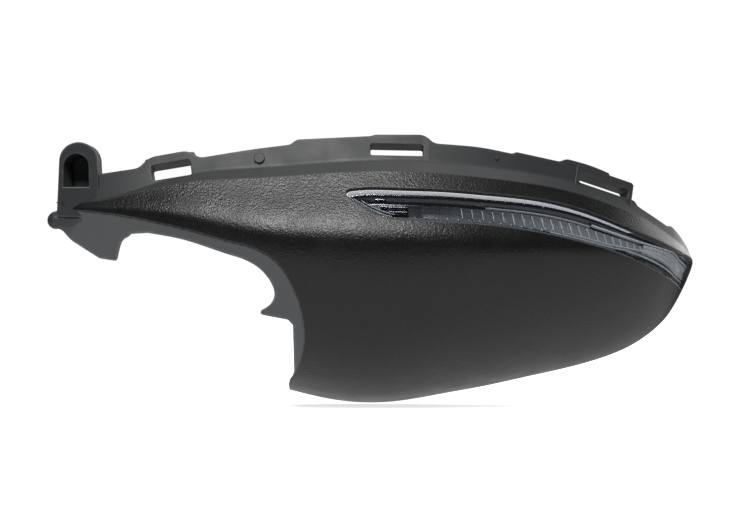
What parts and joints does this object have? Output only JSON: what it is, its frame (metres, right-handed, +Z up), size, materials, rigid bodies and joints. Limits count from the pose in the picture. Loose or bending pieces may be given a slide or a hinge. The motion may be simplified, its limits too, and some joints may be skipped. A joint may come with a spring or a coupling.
{
  "type": "car side mirror lower cover",
  "caption": "Lower cover of a car's door mirror with a slim wrap-round turn-signal lamp, latch tabs along its rim and a notch for the mirror's foot.",
  "frame": {"origin": "middle of the locating pad inside the cover, on its rear face, where the mirror's carrier frame rests", "axes": "+X outboard, away from the car's door; +Y rearward, towards the mirror glass; +Z up, as the cover sits on the car"},
  "size_m": [0.2715, 0.0724, 0.1129],
  "materials": {
    "cover": "charcoal moulding, fine grain on the skin, smooth on the rim and collar",
    "lens": "clear, polished",
    "gasket": "matt black",
    "housing": "black, fine grain",
    "bezel": "dark metallised",
    "guide": "clear, polished, with prism notches",
    "reflector": "bright metallised",
    "board": "green solder mask",
    "ribbon": "amber polyimide film",
    "led": "yellowish encapsulant",
    "chip": "black moulded package",
    "resistor": "glazed black",
    "pin": "tinned brass",
    "membrane": "pale breathable film",
    "screw": "zinc plated"
  },
  "bodies": {
    "root": {"lower_cover": "cover", "lamp_lens": "lens", "lamp_gasket": "gasket", "lamp_housing": "housing", "lamp_bezel": "bezel", "light_guide": "guide", "end_optic": "guide", "guide_reflector": "reflector", "end_reflector": "reflector", "main_circuit_board": "board", "end_circuit_board": "board", "board_link_ribbon": "ribbon", "guide_led": "led", "end_led_1": "led", "end_led_2": "led", "end_led_3": "led", "driver_chip": "chip", "capacitor": "chip", "resistor_1": "resistor", "resistor_2": "resistor", "resistor_3": "resistor", "connector_pin_1": "pin", "connector_pin_2": "pin", "connector_pin_3": "pin", "vent_membrane": "membrane", "lamp_screw_1": "screw", "lamp_screw_2": "screw", "lamp_screw_3": "screw"}
  },
  "joints": []
}
